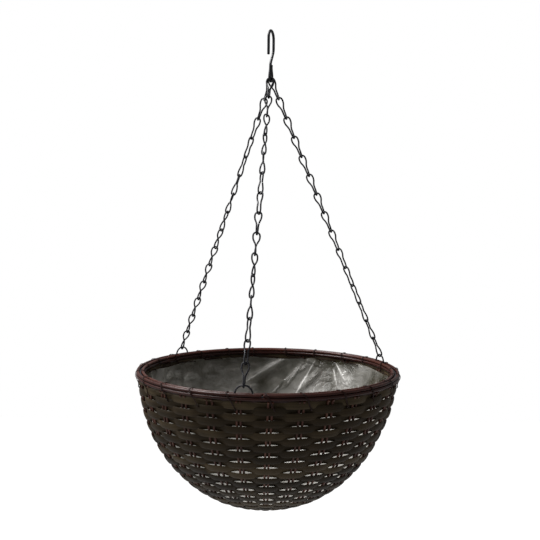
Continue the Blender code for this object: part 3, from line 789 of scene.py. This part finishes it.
# Each crease: where it begins, as a bearing and a share of the way down, where it ends, its breadth
# and height, and how bright the highlight painted along it is. The two broad, low ones paint wide pale
# patches of sheen.
CREASES = [
    (11.0, -0.020, -12.0, 0.170, 0.0080, 0.0034, 1.0),
    (22.5, 0.035, 16.0, 0.105, 0.0060, 0.0022, 0.8),
    (30.0, 0.065, 17.5, 0.220, 0.0110, 0.0036, 0.9),
    (29.5, 0.060, 19.0, 0.000, 0.0080, 0.0020, 0.3),
    (37.5, 0.010, 48.5, 0.150, 0.0090, 0.0036, 1.0),
    (36.5, 0.045, 41.5, 0.170, 0.0070, 0.0026, 0.7),
    (10.0, 0.130, 2.5, 0.230, 0.0080, 0.0022, 0.5),
    (-64.0, -0.010, -69.0, 0.110, 0.0130, 0.0040, 0.3),
    (-78.0, -0.010, -74.0, 0.200, 0.0300, 0.0010, 1.0),
    (19.5, 0.020, 9.0, 0.200, 0.0070, 0.0026, 0.9),
    (26.0, 0.000, 14.0, 0.300, 0.0350, 0.0012, 1.0),
]
# Round the front, where the camera can't see it, the film has seeded creases. Their bearings lie on
# this stretch, and the rest of each is drawn from the ranges that follow.
UNSEEN_CREASES = 15
UNSEEN_STRETCH = (68.0, 284.0)
UNSEEN_SCATTER = 6.0
UNSEEN_SLANT = 14.0
UNSEEN_BEGIN, UNSEEN_END = (-0.02, 0.1), (0.2, 0.6)
UNSEEN_BREADTH, UNSEEN_HEIGHT, UNSEEN_GLINT = (0.007, 0.014), (0.0015, 0.0040), (0.0, 0.8)

unseen_bearings = (np.linspace(*UNSEEN_STRETCH, UNSEEN_CREASES)
                   + rng.uniform(-UNSEEN_SCATTER, UNSEEN_SCATTER, UNSEEN_CREASES))
creases = CREASES + [
    (begin, rng.uniform(*UNSEEN_BEGIN), begin + rng.normal(0.0, UNSEEN_SLANT), rng.uniform(*UNSEEN_END),
     rng.uniform(*UNSEEN_BREADTH), rng.uniform(*UNSEEN_HEIGHT), rng.uniform(*UNSEEN_GLINT))
    for begin in unseen_bearings]
film_bearing = np.linspace(0.0, 2 * np.pi, LINER_ROUND, endpoint=False)
film_share = np.linspace(0.0, 1.0, LINER_DOWN) ** CLOSER_AT_EDGE
grid_bearing, grid_share = np.meshgrid(film_bearing, film_share)
edge_down = (LINER_TOP + EDGE_SLOW * np.sin(SLOW_WAVES * film_bearing + 1.0)
             + EDGE_QUICK * np.sin(QUICK_WAVES * film_bearing))
edge_turn = wall_turn(edge_down)[None]
film_turn = edge_turn + (LINER_FOOT - edge_turn) * grid_share
film_radius = np.maximum(WALL_RADIUS * np.cos(film_turn), NEAR_MIDDLE)
push = np.zeros_like(grid_bearing)
painted_glint = np.zeros_like(grid_bearing)
from_crest = np.full_like(grid_bearing, FAR_FROM_CREST)
for begin, begin_share, end, end_share, breadth, height, glint_brightness in creases:
    across = ((grid_bearing - math.radians(begin) + np.pi) % (2 * np.pi) - np.pi) * film_radius
    down = (grid_share - begin_share) * LINER_ARC
    end_across = (math.radians(end - begin) * WALL_RADIUS
                  * math.cos(LINER_FOOT * (begin_share + end_share) / 2))
    end_down = (end_share - begin_share) * LINER_ARC
    run = math.hypot(end_across, end_down)
    way_across, way_down = end_across / run, end_down / run
    on_line = np.clip((across * way_across + down * way_down) / run, 0.0, 1.0)
    beside = across * way_down - down * way_across
    off = beside / (breadth * (CREASE_START + CREASE_GAIN * on_line))
    fading = np.sin(np.pi * on_line) ** CREASE_FADE
    rise = np.exp(-(np.where(off > 0, STEEP_SIDE, GENTLE_SIDE) * off) ** 2)
    push = np.maximum(push, height * fading * rise)
    # Painted highlight: each crease is painted pale along its length, palest on its crest
    glint_here = glint_brightness * fading * np.exp(-(GLINT_SIDE * off) ** 2)
    from_crest = np.where(glint_here > painted_glint, beside * MILLIMETRES, from_crest)
    painted_glint = np.maximum(painted_glint, glint_here)
film_points, film_out = on_wall(film_turn, grid_bearing, WALL_MIDDLE - LINER_INSET)
film_points = film_points - film_out * push[..., None]
ring = np.arange(LINER_ROUND)[None]
ring_start = np.arange(LINER_DOWN - 1)[:, None] * LINER_ROUND
here, after = ring_start + ring, ring_start + (ring + 1) % LINER_ROUND
film_faces = np.stack([here, here + LINER_ROUND, after + LINER_ROUND, after], -1).reshape(-1, 4)
middle_face = tuple(range((LINER_DOWN - 1) * LINER_ROUND, LINER_DOWN * LINER_ROUND))
liner_mesh = bpy.data.meshes.new("film_liner")
liner_mesh.from_pydata(film_points.reshape(-1, 3).tolist(), [],
                       [tuple(face) for face in film_faces.tolist()] + [middle_face])
# The painted highlights, and the way to the crest of the brightest one, kept on the film's points
liner_mesh.attributes.new("painted_glint", "FLOAT", "POINT").data.foreach_set("value", painted_glint.ravel())
liner_mesh.attributes.new("from_crest", "FLOAT", "POINT").data.foreach_set("value", from_crest.ravel())
liner_mesh.shade_smooth()


def milky_film_painted_glints(name):
    """Thin polythene film: clear and dark where it lies flat, milky in cloudy patches, with painted
    highlights along its creases.
    """
    material, tree, shader = blank_material(name)
    shader.inputs["Roughness"].default_value = 0.13
    shader.inputs["IOR"].default_value = 1.50
    place = tree.nodes.new("ShaderNodeTexCoord").outputs["Object"]
    cloud = noise(tree, place, scale=17.0, detail=5.0)
    # Painted highlights: the creases are painted pale, whitest in a line along the crest, over a cloud of
    # milkiness
    off_crest = computed(tree, "ABSOLUTE", kept_on_points(tree, "from_crest"))
    glint_line = ranged(tree, off_crest, 0.9, 0.24, end=1.6)
    haze_and_glint = computed(tree, "MULTIPLY_ADD", kept_on_points(tree, "painted_glint"), glint_line, cloud)
    colour = coloured(tree, haze_and_glint, ((0.40, (0.034, 0.0315, 0.012)), (0.95, (0.86, 0.84, 0.80))))
    tree.links.new(colour, shader.inputs["Base Color"])
    crumple = noise(tree, place, scale=48.0, detail=2.0, distortion=1.8)
    raised(tree, shader, crumple, strength=0.70, distance=0.004)
    # Light comes through the film, and where it is clear the weave shows behind it
    through = tree.nodes.new("ShaderNodeBsdfTranslucent")
    through.inputs["Color"].default_value = (0.88, 0.86, 0.80, 1.0)
    sheet = tree.nodes.new("ShaderNodeMixShader")
    sheet.inputs["Fac"].default_value = 0.32
    tree.links.new(shader.outputs["BSDF"], sheet.inputs[1])
    tree.links.new(through.outputs["BSDF"], sheet.inputs[2])
    clear = tree.nodes.new("ShaderNodeBsdfTransparent")
    film = tree.nodes.new("ShaderNodeMixShader")
    tree.links.new(ranged(tree, haze_and_glint, 0.62, 0.95, begin=0.30, end=0.90), film.inputs["Fac"])
    tree.links.new(clear.outputs["BSDF"], film.inputs[1])
    tree.links.new(sheet.outputs["Shader"], film.inputs[2])
    tree.links.new(film.outputs["Shader"], tree.nodes["Material Output"].inputs["Surface"])
    return material


liner = shown("film_liner", liner_mesh, milky_film_painted_glints("milky_film_painted_glints"))
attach(liner, "basket")
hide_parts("liner")

# Studio: a pale floor and a white surround, a strong soft light high up at the back left and a
# weak one on the left. The camera stands level with the chains and looks slightly down.
FLOOR = -1.95
FLOOR_HALF = 6.0
FLOOR_GREY = 0.80
SURROUND_LIGHT = 0.30
SUBJECT = Vector((0.0, 0.0, -0.45))
# Each light's place, size and power
SOFTBOXES = {
    "left_softbox": ((-1.75, -0.25, 0.30), 1.1, 16.0),
    "top_softbox": ((-0.95, 0.35, 1.25), 0.9, 68.0),
}
CAMERA_AWAY = 1.2470
CAMERA_OVER_RIM = 0.2290
CAMERA_LENS = 61.89
CAMERA_SENSOR = 36.0
CAMERA_DOWN = math.radians(4.18)
CAMERA_YAW = math.radians(-0.067)
CAMERA_ROLL = math.radians(0.56)

floor_mesh = bpy.data.meshes.new("studio_floor")
corners = [(x * FLOOR_HALF, y * FLOOR_HALF, FLOOR) for x, y in ((-1, -1), (1, -1), (1, 1), (-1, 1))]
floor_mesh.from_pydata(corners, [], [(0, 1, 2, 3)])
floor_paint, tree, shader = blank_material("floor_white")
tree.nodes.remove(shader)
matt = tree.nodes.new("ShaderNodeBsdfDiffuse")
matt.inputs["Color"].default_value = (FLOOR_GREY, FLOOR_GREY, FLOOR_GREY, 1.0)
glow = tree.nodes.new("ShaderNodeEmission")
sight = tree.nodes.new("ShaderNodeLightPath")
seen = computed(tree, "MULTIPLY", sight.outputs["Is Camera Ray"], FLOOR_GREY)
tree.links.new(seen, glow.inputs["Strength"])
both = tree.nodes.new("ShaderNodeAddShader")
tree.links.new(matt.outputs["BSDF"], both.inputs[0])
tree.links.new(glow.outputs["Emission"], both.inputs[1])
tree.links.new(both.outputs["Shader"], tree.nodes["Material Output"].inputs["Surface"])
floor = shown("studio_floor", floor_mesh, floor_paint)

surround = bpy.data.worlds.new("white_surround")
bpy.context.scene.world = surround
surround.use_nodes = True
tree = surround.node_tree
sky = tree.nodes["Background"]
sky.inputs["Color"].default_value = (1.0, 1.0, 1.0, 1.0)
sight = tree.nodes.new("ShaderNodeLightPath")
seen = computed(tree, "MAXIMUM", sight.outputs["Is Camera Ray"], sight.outputs["Is Transmission Ray"])
tree.links.new(ranged(tree, seen, SURROUND_LIGHT, 1.0), sky.inputs["Strength"])

for name, (spot, size, power) in SOFTBOXES.items():
    lamp = bpy.data.lights.new(name, "AREA")
    lamp.shape = "SQUARE"
    lamp.size = size
    lamp.energy = power
    holder = bpy.data.objects.new(name, lamp)
    bpy.context.scene.collection.objects.link(holder)
    holder.location = spot
    holder.rotation_mode = "QUATERNION"
    holder.rotation_quaternion = (SUBJECT - Vector(spot)).to_track_quat("-Z", "Y")

camera_lens = bpy.data.cameras.new("studio_camera")
camera_lens.sensor_width = CAMERA_SENSOR
camera_lens.lens = CAMERA_LENS
camera = bpy.data.objects.new("studio_camera", camera_lens)
bpy.context.scene.collection.objects.link(camera)
aim = Matrix.Rotation(math.pi / 2 - CAMERA_DOWN, 4, "X")
yaw = Matrix.Rotation(CAMERA_YAW, 4, "Z")
roll = Matrix.Rotation(CAMERA_ROLL, 4, "Z")
stand = Matrix.Translation((0.0, -CAMERA_AWAY, RIM_LEVEL + CAMERA_OVER_RIM))
camera.matrix_world = stand @ yaw @ aim @ roll
bpy.context.scene.camera = camera
bpy.context.scene.view_settings.view_transform = "Standard"
